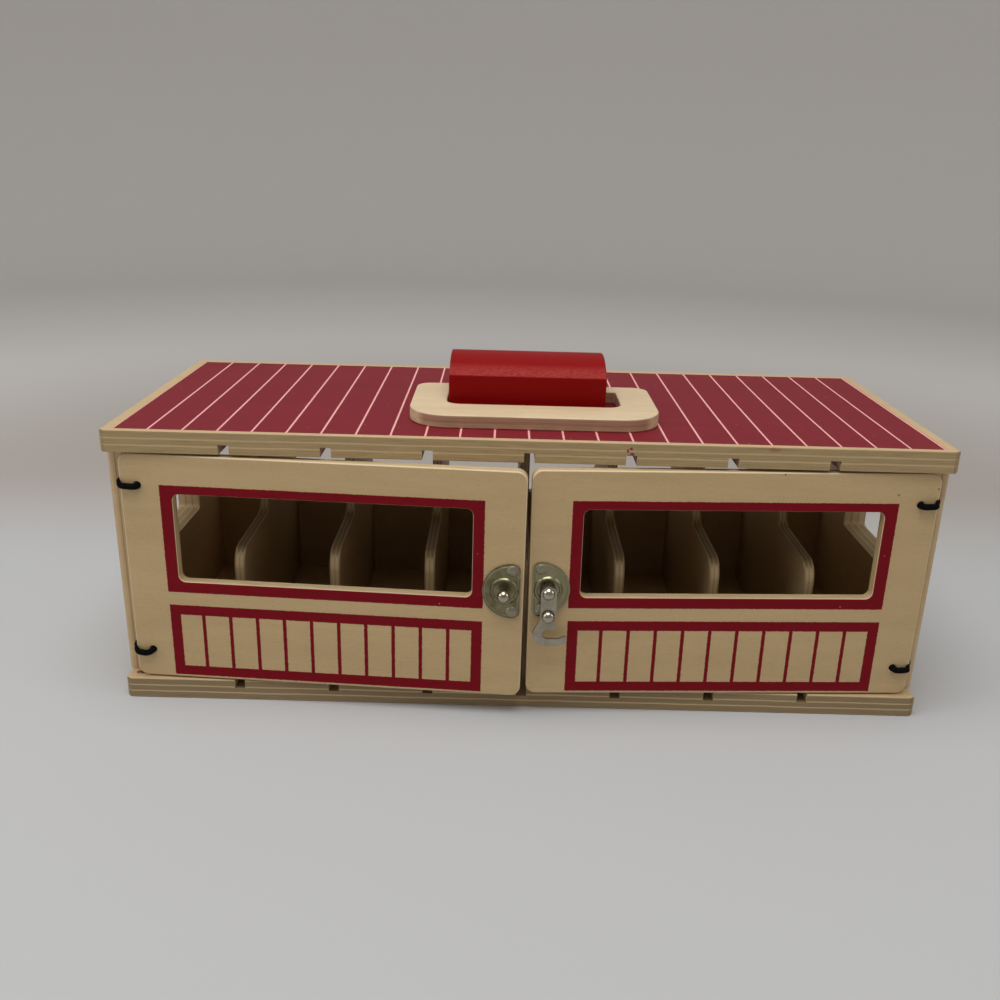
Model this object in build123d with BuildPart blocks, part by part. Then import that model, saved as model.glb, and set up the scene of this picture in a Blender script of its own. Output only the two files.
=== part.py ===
from build123d import *
from math import radians, tan
import os

# A wooden toy stable: two plywood boards, two side panels, a low back panel
# and seven stall dividers, closed at the front by two doors on elastic cords.
# A ring handle lies on the roof, caught under a red block, and a hook on the
# right door turns over a stud on the left door.
# Millimetres. X is to the right, Y is to the back and Z is up, with the origin
# under the middle of the base. The left and the right side are -1 and +1.

# Roof and base boards
board_length = 401.6
board_depth = 160.0
board_thick = 11.0
board_corner = 4.0
board_end_round = 2.2
board_arris = 0.6
room_height = 119.0

# Side panels, a little proud of the ends of the boards
panel_thick = 12.3
panel_proud = 0.5
panel_depth = 142.0
panel_outer_corner = 3.0
panel_inner_corner = 1.0
side_window_width = 52.0
side_window_height = 40.8
side_window_sill = 53.7
side_window_y = -2.0
side_window_corner = 3.0

# Back panel, level with the back edges of the side panels
back_thick = 6.0
back_height = 55.0
back_arris = 0.6

# Stall dividers and the grooves that hold them
stall_count = 8
end_stall_narrower = 1.0
divider_thick = 5.0
divider_setback = 5.0
divider_low_height = 65.5
divider_low_length = 57.0
divider_front_corner = 9.5
divider_inner_corner = 7.0
groove_depth = 4.8
groove_gap = 0.05

# Doors
door_end_setback = 6.6
door_top_gap = 1.0
door_thick = 6.0
door_corner = 5.0
door_arris = 0.8
door_lift = 0.8
door_behind_gap = 0.4
doors_between_gap = 2.1
doors_shift = 0.6
door_droop = 0.2
left_door_swing = 3.29
right_door_swing = 2.34
door_window_near = 24.75
door_window_far = 24.95
door_window_sill = 52.6
door_window_head = 19.4
door_window_corner = 3.3

# Elastic cords that carry the doors
cord_radius = 1.6
cord_gap = 0.1
cord_hole_near = 8.4
cord_hole_low = 14.6
cord_hole_top_in = 15.6
cord_axis_depth = 4.2
cord_ends_apart = 0.35
cord_anchor_length = 10.5
knot_radius = 2.1
knot_standoff = 2.4

# Latch plates and their nails, across from the free edge of a door
plate_thick = 0.9
plate_radius = 14.0
plate_centre_in = 5.85
plate_flat_in = 1.65
plate_corner = 3.5
plate_height = 57.1
emboss_radius = 7.0
emboss_height = 0.7
dish_radius = 5.6
dish_depth = 0.4
emboss_slope = 40.0
nail_in = 5.55
nail_spread = 10.7
nail_head_radius = 2.75
nail_head_height = 1.0
nail_shank_radius = 0.8
nail_shank_length = 5.0

# Stud, pivot, hook and knob
latch_in = 9.25
latch_shank_radius = 1.5
latch_shank_length = 4.5
latch_hole_gap = 0.1
collar_radius = 2.9
stud_neck_radius = 1.8
stud_head_radius = 3.1
stud_head_height = 2.8
pivot_radius = 1.55
pivot_head_radius = 3.0
pivot_head_height = 1.9
hook_thick = 1.5
hook_over_plate = 4.1
hook_play = 0.1
stud_head_gap = 0.3
pivot_fit = 0.06
arm_half_width = 3.8
slot_radius = 2.65
seat_slack = 0.7
hook_back_reach = 7.4
hook_below_seat = 6.2
hook_back_radius = 6.7
jaw_reach = 9.1
jaw_rise_start = 5.8
jaw_tip_width = 1.2
jaw_tip_height = 3.5
jaw_tip_below_seat = 1.4
hook_neck_above_seat = 7.8
hook_corner = 0.6
knob_below_pivot = 11.5
knob_radius = 3.15
knob_neck_radius = 1.7
knob_neck_height = 1.0
knob_height = 2.4
knob_shank_radius = 1.2
knob_fit = 0.05

# Ring handle on the roof
ring_length = 123.2
ring_depth = 68.9
ring_thick = 6.5
ring_front_corner = 20.0
ring_back_corner = 8.0
ring_arris = 0.7
ring_slot_length = 87.5
ring_slot_depth = 34.0
slot_front_corner = 7.0
slot_back_corner = 2.0
ring_front_rim = 23.4
ring_shift = 2.6
ring_back_y = 6.1
ring_lift = 0.05

# Red block that keeps the ring
block_length = 79.4
block_depth = 50.0
block_shift = -0.7
block_centre_y = -7.0
block_shoulder = 19.2
block_crown = 7.5
block_arris = 0.8
tunnel_depth = 18.8
tunnel_height = 18.2
tunnel_centre_y = 2.8
tunnel_corner = 2.0

# Heights and faces that follow from the sizes
base_top = board_thick
roof_under = base_top + room_height
roof_top = roof_under + board_thick
panel_front = -panel_depth / 2
panel_back = panel_depth / 2
panel_inner = board_length / 2 + panel_proud - panel_thick
clear_width = 2 * panel_inner
back_front_y = panel_back - back_thick
groove_width = divider_thick + 2 * groove_gap
divider_pitch = (clear_width + 2 * end_stall_narrower) / stall_count
divider_places = [(n - stall_count / 2) * divider_pitch for n in range(1, stall_count)]
door_front_y = panel_front - door_behind_gap - door_thick
door_bottom = base_top + door_lift
door_width = board_length / 2 - door_end_setback - doors_between_gap / 2
door_height = room_height - door_lift - door_top_gap
door_window_width = door_width - door_window_near - door_window_far
door_window_height = door_height - door_window_sill - door_window_head
cord_hole_high = door_height - cord_hole_top_in
plate_centre_near = door_width - plate_centre_in
plate_flat_near = door_width - plate_flat_in
nail_near = door_width - nail_in
latch_near = door_width - latch_in
cord_bend = cord_radius + cord_gap + door_arris
hinge_outboard = cord_radius + cord_gap
hinge_y = door_front_y + cord_axis_depth
emboss_top = plate_thick + emboss_height
dish_floor = emboss_top - dish_depth
hook_under = plate_thick + hook_over_plate
hook_top = hook_under + hook_thick

os.makedirs("parts", exist_ok=True)


def save(piece, name):
    """Labels a finished piece and writes it."""
    piece.part.label = name
    export_step(piece.part, f"parts/{name}.step")


# Places on the doors

def door_edge_x(side):
    """The hinge edge of a shut door."""
    return doors_shift + side * (doors_between_gap / 2 + door_width)


def hinge_x(side):
    """The upright axis about which a door swings."""
    return door_edge_x(side) + side * hinge_outboard


def door_plane(side):
    """The front face of a door as it stands ajar: X to the right, Y up, from its low hinge corner."""
    swing = left_door_swing if side < 0 else right_door_swing
    shut = Plane(origin=(door_edge_x(side), door_front_y, door_bottom), x_dir=(1, 0, 0), z_dir=(0, -1, 0))
    drooped = shut.location * Location((0, 0, 0), (0, 0, side * door_droop))
    to_hinge = Location((hinge_x(side), hinge_y, 0))
    swung = to_hinge * Location((0, 0, 0), (0, 0, side * swing)) * to_hinge.inverse()
    return Plane(swung * drooped)


def across(side, near):
    """The local X of a place that lies so far from a door's hinge edge."""
    return -side * near


def section_plane(plane, x, y):
    """A plane square to a door through one place: X stays, Y stands out of the door."""
    return Plane(origin=plane.from_local_coords((x, y, 0)), x_dir=plane.x_dir, z_dir=-plane.y_dir)


def out_of(plane, x, y):
    """The axis that stands out of a door at one place."""
    return Axis(plane.from_local_coords((x, y, 0)), plane.z_dir)


def hinge_near(height):
    """How far the hinge axis lies from a drooping door's edge at one height, outboard as a minus."""
    return -hinge_outboard - height * tan(radians(door_droop))


def hinge_height(side, height):
    """The height above the floor where a cord crosses the hinge axis."""
    place = (across(side, hinge_near(height)), height, -cord_axis_depth)
    return door_plane(side).from_local_coords(place).Z


left_plane = door_plane(-1)
right_plane = door_plane(1)


# Roof and base boards

def board(bottom, groove_floor, groove_open_up):
    """One plywood board with rounded ends, and a groove for each divider in its inner face."""
    middle = bottom + board_thick / 2
    with BuildPart() as blank:
        with BuildSketch(Plane.XY.offset(bottom)):
            RectangleRounded(board_length, board_depth, board_corner)
        extrude(amount=board_thick)
        with BuildSketch(Plane.XZ):
            with Locations((0, middle)):
                RectangleRounded(board_length, board_thick, board_end_round)
        extrude(amount=board_depth / 2, both=True, mode=Mode.INTERSECT)
        with BuildSketch(Plane.YZ):
            with Locations((0, middle)):
                RectangleRounded(board_depth, board_thick, board_arris)
        extrude(amount=board_length / 2, both=True, mode=Mode.INTERSECT)
        with BuildSketch(Plane.XY.offset(groove_floor)):
            with Locations([(x, 0) for x in divider_places]):
                Rectangle(groove_width, board_depth)
        extrude(amount=groove_depth if groove_open_up else -groove_depth, mode=Mode.SUBTRACT)
    return blank


base_panel = board(0, base_top - groove_depth, True)
save(base_panel, "base_panel")
roof_panel = board(roof_under, roof_under + groove_depth, False)
save(roof_panel, "roof_panel")


# Side panels

def side_panel(side):
    """A side panel with its window and two blind holes for the cords in its front edge."""
    centre_x = side * (panel_inner + panel_thick / 2)
    window_z = base_top + side_window_sill + side_window_height / 2
    with BuildPart() as panel:
        with BuildSketch(Plane.XY.offset(base_top)):
            with Locations((centre_x, 0)):
                Rectangle(panel_thick, panel_depth)
        extrude(amount=room_height)
        uprights = panel.edges().filter_by(Axis.Z).sort_by(Axis.X)
        inner, outer = (uprights[:2], uprights[2:]) if side > 0 else (uprights[2:], uprights[:2])
        fillet(outer, panel_outer_corner)
        fillet(inner, panel_inner_corner)
        with BuildSketch(Plane.YZ.offset(centre_x)):
            with Locations((side_window_y, window_z)):
                RectangleRounded(side_window_width, side_window_height, side_window_corner)
        extrude(amount=panel_thick, both=True, mode=Mode.SUBTRACT)
        for height in (cord_hole_low, cord_hole_high):
            with BuildSketch(Plane.XZ.offset(-panel_front)):
                with Locations((hinge_x(side), hinge_height(side, height))):
                    Circle(cord_radius + cord_gap)
            extrude(amount=-cord_anchor_length - cord_gap, mode=Mode.SUBTRACT)
    return panel


left_side_panel = side_panel(-1)
save(left_side_panel, "left_side_panel")
right_side_panel = side_panel(1)
save(right_side_panel, "right_side_panel")


# Back panel

with BuildPart() as back_panel:
    with BuildSketch(Plane.XY.offset(base_top)):
        with Locations((0, back_front_y + back_thick / 2)):
            Rectangle(clear_width, back_thick)
    extrude(amount=back_height)
    fillet(back_panel.faces().sort_by(Axis.Z)[-1].edges().filter_by(Axis.X), back_arris)
save(back_panel, "back_panel")


# Stall dividers

def divider(x):
    """One divider: low at the front, full height at the back, in its two grooves."""
    front = panel_front + divider_setback
    step = front + divider_low_length
    low_top = base_top + divider_low_height
    foot = base_top - groove_depth
    head = roof_under + groove_depth
    with BuildPart() as wall:
        with BuildSketch(Plane.YZ.offset(x - divider_thick / 2)) as profile:
            with BuildLine():
                Polyline(
                    (front, foot), (front, low_top), (step, low_top), (step, head),
                    (back_front_y, head), (back_front_y, foot), close=True,
                )
            make_face()
            fillet(profile.vertices().sort_by_distance((front, low_top))[0], divider_front_corner)
            fillet(profile.vertices().sort_by_distance((step, low_top))[0], divider_inner_corner)
        extrude(amount=divider_thick)
    return wall


for number, place in enumerate(divider_places, start=1):
    save(divider(place), f"stall_divider_{number}")


# Doors

def door(side, plane):
    """A plywood door with an open window, two cord holes and the holes of its latch."""
    direction = Axis(plane.origin, plane.z_dir)
    with BuildPart() as leaf:
        with BuildSketch(plane):
            with Locations((across(side, door_width / 2), door_height / 2)):
                RectangleRounded(door_width, door_height, door_corner)
            window_x = across(side, door_window_near + door_window_width / 2)
            with Locations((window_x, door_window_sill + door_window_height / 2)):
                RectangleRounded(door_window_width, door_window_height, door_window_corner, mode=Mode.SUBTRACT)
            for height in (cord_hole_low, cord_hole_high):
                with Locations((across(side, cord_hole_near), height)):
                    Circle(cord_radius + cord_gap, mode=Mode.SUBTRACT)
        extrude(amount=-door_thick)
        flat_faces = leaf.faces().sort_by(direction)
        fillet(flat_faces[-1].edges() + flat_faces[0].edges(), door_arris)
        with BuildSketch(plane):
            for height in (plate_height - nail_spread, plate_height + nail_spread):
                with Locations((across(side, nail_near), height)):
                    Circle(nail_shank_radius + latch_hole_gap)
        extrude(amount=-nail_shank_length - latch_hole_gap, mode=Mode.SUBTRACT)
        with BuildSketch(plane):
            with Locations((across(side, latch_near), plate_height)):
                Circle(latch_shank_radius + latch_hole_gap)
        extrude(amount=-latch_shank_length - latch_hole_gap, mode=Mode.SUBTRACT)
    return leaf


left_door = door(-1, left_plane)
save(left_door, "left_door")
right_door = door(1, right_plane)
save(right_door, "right_door")


# Elastic cords

def door_cord(side, plane, height):
    """The door's part of a cord: knotted behind, over the face, round the edge to the hinge axis."""
    face = section_plane(plane, 0, height)
    hole = across(side, cord_hole_near)
    axis = across(side, hinge_near(height))
    over = cord_radius + cord_gap
    knot = -door_thick - knot_standoff
    with BuildPart() as cord:
        with BuildLine(face) as route:
            FilletPolyline((hole, knot), (hole, over), (axis, over), (axis, -cord_axis_depth), radius=cord_bend)
        with BuildSketch(Plane(origin=route.line @ 0, z_dir=route.line % 0)):
            Circle(cord_radius)
        sweep()
        with Locations(face.from_local_coords((axis, -cord_axis_depth, 0))):
            Sphere(cord_radius)
        with Locations(face.from_local_coords((hole, knot, 0))):
            Sphere(knot_radius)
    return cord


def cord_anchor(side, height):
    """The panel's part of a cord: glued in a blind hole, with a round end just behind the hinge axis."""
    level = hinge_height(side, height)
    nose_y = hinge_y + 2 * cord_radius + cord_ends_apart
    end_y = panel_front + cord_anchor_length
    with BuildPart() as anchor:
        with BuildSketch(Plane.XZ.offset(-nose_y)):
            with Locations((hinge_x(side), level)):
                Circle(cord_radius)
        extrude(amount=-(end_y - nose_y))
        with Locations((hinge_x(side), nose_y, level)):
            Sphere(cord_radius)
    return anchor


for side, side_name, plane in ((-1, "left", left_plane), (1, "right", right_plane)):
    for height, level_name in ((cord_hole_low, "lower"), (cord_hole_high, "upper")):
        save(door_cord(side, plane, height), f"{side_name}_{level_name}_cord")
        save(cord_anchor(side, height), f"{side_name}_{level_name}_cord_anchor")


# Latch plates

def latch_plate(side, plane):
    """A D-shaped plate with a pressed ring round the place of the stud or the pivot."""
    with BuildPart() as plate:
        with BuildSketch(plane) as outline:
            with Locations((across(side, plate_centre_near), plate_height)):
                Circle(plate_radius)
            with Locations((across(side, plate_flat_near - plate_radius), plate_height)):
                Rectangle(2 * plate_radius, 2 * plate_radius, mode=Mode.INTERSECT)
            fillet(outline.vertices(), plate_corner)
        extrude(amount=plate_thick)
        with BuildSketch(plane.offset(plate_thick)):
            with Locations((across(side, latch_near), plate_height)):
                Circle(emboss_radius)
        extrude(amount=emboss_height, taper=emboss_slope)
        with BuildSketch(plane.offset(emboss_top)):
            with Locations((across(side, latch_near), plate_height)):
                Circle(dish_radius)
        extrude(amount=-dish_depth, taper=emboss_slope, mode=Mode.SUBTRACT)
        with BuildSketch(plane):
            with Locations((across(side, latch_near), plate_height)):
                Circle(latch_shank_radius + latch_hole_gap)
            for height in (plate_height - nail_spread, plate_height + nail_spread):
                with Locations((across(side, nail_near), height)):
                    Circle(nail_shank_radius + latch_hole_gap)
        extrude(amount=emboss_top, mode=Mode.SUBTRACT)
    return plate


left_latch_plate = latch_plate(-1, left_plane)
save(left_latch_plate, "left_latch_plate")
right_latch_plate = latch_plate(1, right_plane)
save(right_latch_plate, "right_latch_plate")


# Turned pins: a shank in the wood, then steps outwards and a domed head

def turned_pin(plane, x, y, steps, head_under, head_radius, head_height):
    """Revolves a pin from (radius, from, to) steps along its axis and a dome over them."""
    section = section_plane(plane, x, y)
    with BuildPart() as pin:
        with BuildSketch(section):
            for radius, start, end in steps:
                with Locations((radius / 2, (start + end) / 2)):
                    Rectangle(radius, end - start)
            with BuildLine():
                Polyline((0, head_under + head_height), (0, head_under), (head_radius, head_under))
                RadiusArc(
                    (0, head_under + head_height), (head_radius, head_under),
                    (head_radius ** 2 + head_height ** 2) / (2 * head_height),
                )
            make_face()
        revolve(axis=out_of(plane, x, y))
    return pin


def plate_nails(side, plane):
    """The two nails of one plate, as separate solids."""
    nails = []
    for height in (plate_height - nail_spread, plate_height + nail_spread):
        steps = [(nail_shank_radius, -nail_shank_length, plate_thick)]
        place = across(side, nail_near)
        nails.append(turned_pin(plane, place, height, steps, plate_thick, nail_head_radius, nail_head_height))
    with BuildPart() as pair:
        for nail in nails:
            add(nail.part)
    return pair


save(plate_nails(-1, left_plane), "left_plate_nails")
save(plate_nails(1, right_plane), "right_plate_nails")

stud_steps = [
    (latch_shank_radius, -latch_shank_length, dish_floor),
    (stud_neck_radius, dish_floor, hook_top + stud_head_gap),
]
catch_stud = turned_pin(
    left_plane, across(-1, latch_near), plate_height, stud_steps,
    hook_top + stud_head_gap, stud_head_radius, stud_head_height,
)
save(catch_stud, "catch_stud")

pivot_steps = [
    (latch_shank_radius, -latch_shank_length, dish_floor),
    (collar_radius, dish_floor, hook_under - hook_play),
    (pivot_radius, hook_under - hook_play, hook_top + hook_play),
]
hook_pivot = turned_pin(
    right_plane, across(1, latch_near), plate_height, pivot_steps,
    hook_top + hook_play, pivot_head_radius, pivot_head_height,
)
save(hook_pivot, "hook_pivot")


# Hook and its knob

shut_spacing = door_edge_x(1) - door_edge_x(-1) - 2 * latch_near - 2 * plate_height * tan(radians(door_droop))
seat_y = -shut_spacing - seat_slack
slot_top = seat_y + slot_radius
slot_bottom = seat_y - slot_radius
tip_top = seat_y - jaw_tip_below_seat
tip_bottom = tip_top - jaw_tip_height
hook_bottom = seat_y - hook_below_seat
back_x = hook_back_radius - hook_back_reach
back_y = hook_bottom + hook_back_radius
pivot_origin = right_plane.from_local_coords((across(1, latch_near), plate_height, 0))
hook_plane = Plane(origin=pivot_origin, x_dir=right_plane.x_dir, z_dir=right_plane.z_dir)

with BuildPart() as latch_hook:
    with BuildSketch(hook_plane.offset(hook_under)) as outline:
        with BuildLine():
            Polyline((arm_half_width, 0), (arm_half_width, slot_top), (0, slot_top))
            ThreePointArc((0, slot_top), (-slot_radius, seat_y), (0, slot_bottom))
            Polyline(
                (0, slot_bottom), (jaw_rise_start, slot_bottom), (jaw_reach - jaw_tip_width, tip_top),
                (jaw_reach, tip_top), (jaw_reach, tip_bottom), (jaw_rise_start, hook_bottom), (back_x, hook_bottom),
            )
            RadiusArc((back_x, hook_bottom), (-hook_back_reach, back_y), hook_back_radius)
            Polyline(
                (-hook_back_reach, back_y), (-arm_half_width, seat_y + hook_neck_above_seat),
                (-arm_half_width, 0),
            )
            RadiusArc((-arm_half_width, 0), (arm_half_width, 0), arm_half_width)
        make_face()
        soft_corners = [(arm_half_width, slot_top), (jaw_reach, tip_top), (jaw_reach, tip_bottom)]
        for corner in soft_corners:
            fillet(outline.vertices().sort_by_distance(corner)[0], hook_corner)
    extrude(amount=hook_thick)
    with BuildSketch(hook_plane.offset(hook_under)):
        Circle(pivot_radius + pivot_fit)
        with Locations((0, -knob_below_pivot)):
            Circle(knob_shank_radius + knob_fit)
    extrude(amount=hook_thick, mode=Mode.SUBTRACT)
save(latch_hook, "latch_hook")

knob_steps = [
    (knob_shank_radius, hook_under, hook_top),
    (knob_neck_radius, hook_top, hook_top + knob_neck_height),
]
hook_knob = turned_pin(
    right_plane, across(1, latch_near), plate_height - knob_below_pivot, knob_steps,
    hook_top + knob_neck_height, knob_radius, knob_height,
)
save(hook_knob, "hook_knob")


# Ring handle

ring_centre_y = ring_back_y - ring_depth / 2
ring_slot_y = ring_back_y - ring_depth + ring_front_rim + ring_slot_depth / 2


def soft_rectangle(centre_y, length, depth, front_corner, back_corner):
    """An outline in the ring's underside whose front corners are rounder than the back ones."""
    with BuildSketch(Plane.XY.offset(roof_top)) as outline:
        with Locations((ring_shift, centre_y)):
            Rectangle(length, depth)
        fillet(outline.vertices().group_by(Axis.Y)[0], front_corner)
        fillet(outline.vertices().group_by(Axis.Y)[-1], back_corner)
    return outline.sketch


with BuildPart() as handle_ring:
    add(soft_rectangle(ring_centre_y, ring_length, ring_depth, ring_front_corner, ring_back_corner))
    extrude(amount=ring_thick)
    add(soft_rectangle(ring_slot_y, ring_slot_length, ring_slot_depth, slot_front_corner, slot_back_corner))
    extrude(amount=ring_thick, mode=Mode.SUBTRACT)
    fillet(handle_ring.faces().filter_by(Axis.Z).edges(), ring_arris)
save(handle_ring, "handle_ring")


# Block over the back rim of the ring

block_front_y = block_centre_y - block_depth / 2
block_back_y = block_centre_y + block_depth / 2
block_shoulder_z = roof_top + block_shoulder
block_top = block_shoulder_z + block_crown

with BuildPart() as handle_block:
    with BuildSketch(Plane.YZ.offset(block_shift - block_length / 2)):
        with BuildLine():
            Polyline(
                (block_front_y, block_shoulder_z), (block_front_y, roof_top),
                (block_back_y, roof_top), (block_back_y, block_shoulder_z),
            )
            ThreePointArc(
                (block_back_y, block_shoulder_z), (block_centre_y, block_top),
                (block_front_y, block_shoulder_z),
            )
        make_face()
    extrude(amount=block_length)
    above_roof = handle_block.edges().filter_by_position(Axis.Z, roof_top + block_arris, block_top)
    fillet(above_roof, block_arris)
    with BuildSketch(Plane.YZ.offset(block_shift)):
        with Locations((tunnel_centre_y, roof_top)):
            RectangleRounded(tunnel_depth, 2 * tunnel_height, tunnel_corner)
    extrude(amount=block_length, both=True, mode=Mode.SUBTRACT)
save(handle_block, "handle_block")

# Places of the joints, for the description of how the part moves
print("left hinge", round(hinge_x(-1), 3), round(hinge_y, 3))
print("right hinge", round(hinge_x(1), 3), round(hinge_y, 3))
print("hook pivot", pivot_origin, right_plane.z_dir)
print("ring axis", round(ring_back_y, 3), round(roof_top + ring_thick / 2 + ring_lift, 3))
print("cord bend radius", round(cord_bend, 2))
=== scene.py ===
"""A wooden toy stable of birch plywood: printed doors and roof, elastic hinges, hook latch and carry ring.

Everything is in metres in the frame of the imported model: +X to the right along the front, +Y back, +Z up.
Sizes on the stable are written as millimetres in this file and are turned to metres where they are used.
The stage, its lamps and the sizes of the sidebar are in metres.
"""

import math

import bpy
from mathutils import Matrix, Vector


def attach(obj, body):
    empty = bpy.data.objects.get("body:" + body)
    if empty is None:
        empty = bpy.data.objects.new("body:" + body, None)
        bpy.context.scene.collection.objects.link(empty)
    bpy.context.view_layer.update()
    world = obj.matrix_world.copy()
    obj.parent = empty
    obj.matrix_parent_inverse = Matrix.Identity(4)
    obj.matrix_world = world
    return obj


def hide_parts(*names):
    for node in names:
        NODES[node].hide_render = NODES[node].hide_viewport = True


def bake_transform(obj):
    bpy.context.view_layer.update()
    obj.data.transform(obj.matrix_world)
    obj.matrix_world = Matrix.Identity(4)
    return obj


bl_info = {
    "name": "Wooden Toy Stable",
    "version": (1, 0, 0),
    "blender": (4, 5, 0),
    "location": "View3D > Sidebar > Toy Stable",
    "description": "Dresses a plywood toy stable with its prints, elastic hinges, latch and carry ring",
    "category": "Object",
}

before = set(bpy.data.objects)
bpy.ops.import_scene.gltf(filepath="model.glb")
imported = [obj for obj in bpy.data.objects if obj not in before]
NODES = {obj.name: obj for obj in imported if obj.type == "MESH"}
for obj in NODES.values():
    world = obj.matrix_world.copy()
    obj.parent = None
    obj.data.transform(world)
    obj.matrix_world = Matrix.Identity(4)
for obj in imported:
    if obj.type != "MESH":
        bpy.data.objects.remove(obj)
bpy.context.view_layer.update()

MM = 0.001


def linear(hex_colour):
    """The linear colour that Blender's sockets take, from sRGB hex."""
    channels = [int(hex_colour[i:i + 2], 16) / 255 for i in (1, 3, 5)]
    return tuple(c / 12.92 if c <= 0.04045 else ((c + 0.055) / 1.055) ** 2.4 for c in channels) + (1.0,)


def darker(tone, share):
    """A colour at a share of its light."""
    return [share * c for c in tone[:3]] + [1.0]


# Places on the stable, in millimetres, as the solids have them

BOARD_THICK, PANEL_THICK, BACK_THICK, DIVIDER_THICK, DOOR_THICK, RING_THICK = 11.0, 12.3, 6.0, 5.0, 6.0, 6.5
ROOF_UNDER, ROOF_TOP = 130.0, 141.0
INNER_X, BACK_FRONT_Y = 189.0, 65.0
DIVIDER_PITCH = 47.5
# painted shadow: a dark lump stands at the gap between the base board and the left panel's corner
SHADOW_DAB_PLACE = (-194.5, -74.4, 11.1)

# The block's creases, at which its crown begins
BLOCK_FRONT_Y, BLOCK_BACK_Y, BLOCK_SHOULDER_Z = -32.0, 18.0, 160.2

# The doors, by side: the low front corner at the hinge, and how far each stands ajar and droops, in degrees
SIDES = ((-1, "left"), (1, "right"))
DOOR_CORNERS = {-1: (-193.844, -77.491, 11.8), 1: (194.973, -77.466, 11.8)}
DOOR_SWINGS = {-1: 3.29, 1: 2.34}
DOOR_DROOP = 0.2

# The latch plates, measured on the door from its hinge edge and up from its low edge
PLATE_MIDDLE_NEAR, PLATE_FLAT_NEAR, PLATE_HEIGHT = 187.3, 191.5, 57.1
PLATE_RADIUS, PLATE_CORNER, PLATE_THICK = 14.0, 3.5, 0.9
PLATE_LINE_IN, PLATE_LINE = 1.1, 0.28

# The hinge axes, which lie beside the doors' edges and behind their faces
HINGES = {-1: Vector((-195.3, -73.2, 0)), 1: Vector((196.5, -73.2, 0))}
HINGE_OUT, HINGE_BEHIND = 1.7, 4.2

# The cords: how far their holes lie from a door's edge and how far they stand off its face, and how high
CORD_HOLE, CORD_OVER = 8.4, 1.7
CORD_HEIGHTS = {"lower": 14.6, "upper": 101.6}
# How far each sags between its hole and the edge, and rises where it slips round the edge
CORD_SAGS = {
    (-1, "lower"): (1.2, 1.3), (-1, "upper"): (0.1, 2.4),
    (1, "lower"): (0.35, 1.7), (1, "upper"): (0.1, 2.5),
}
# The right cords turn back before the door's edge and stay drawn thin for longer
CORD_TUCKS = {-1: 0.0, 1: 1.0}
THIN_BEFORE, THIN_AFTER, THINNED = 2.6, {-1: 2.6, 1: 5.5}, 0.55
STRANDS, STRAND_LAY = 8, 9.0
CORE_SHARE, KNOT_SHARE = 0.88, 0.62
KNOT_STEPS, KNOT_BEHIND, KNOT_DEEP = 48, 8.0, 0.75

# The prints, as middles and half sizes. A door's lie evenly about a line this far from its hinge edge
PRINT_MIDDLE = 96.3
WINDOW_MIDDLE, WINDOW_HALF = (0.0, 74.65), (72.5, 22.7)
LOWER_MIDDLE, LOWER_HALF = (0.0, 20.7), (74.75, 16.75)
ROOF_FIELD_MIDDLE, ROOF_FIELD_HALF, ROOF_FIRST_LINE = (0.2, -1.75), (193.9, 75.75), -194.0


def door_place(side):
    """Turns millimetres on a door to metres: X to the right from its low hinge corner, Y up, Z out."""
    turned = (
        Matrix.Rotation(math.radians(side * DOOR_SWINGS[side]), 4, "Z")
        @ Matrix.Rotation(math.radians(90), 4, "X")
        @ Matrix.Rotation(math.radians(side * DOOR_DROOP), 4, "Z")
    )
    return Matrix.Scale(MM, 4) @ Matrix.Translation(DOOR_CORNERS[side]) @ turned


# Sizes and colours that a user may change

def length(label, about, default):
    """A length in metres for the sidebar, given in millimetres."""
    return bpy.props.FloatProperty(
        name=label, description=about, default=default * MM, min=0.0, precision=5, unit="LENGTH",
    )


def colour(label, about, default):
    """A colour for the sidebar, given as sRGB hex."""
    return bpy.props.FloatVectorProperty(
        name=label, description=about, default=linear(default), size=4, min=0.0, max=1.0, subtype="COLOR",
    )


class ToyStableSizes(bpy.types.PropertyGroup):
    plank_pitch: length("Plank pitch", "Distance between the pale lines of the roof's print", 16.14)
    plank_line: length("Plank line", "Width of a pale line of the roof's print", 0.95)
    window_band: length("Window frame band", "Width of the printed frame round a door's window", 5.0)
    bar_band: length("Lower frame band", "Width of the printed frame below a door's window", 5.25)
    bar_pitch: length("Bar pitch", "Distance between the printed bars", 13.48)
    bar_width: length("Bar width", "Width of a printed bar", 1.8)
    cord_radius: length("Cord radius", "Half the thickness of the elastic cord", 1.6)
    cord_strand: length("Cord strand radius", "Half the thickness of one braided strand", 0.33)
    knot_radius: length("Knot radius", "Half the width of the knot behind a door", 2.1)


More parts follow.
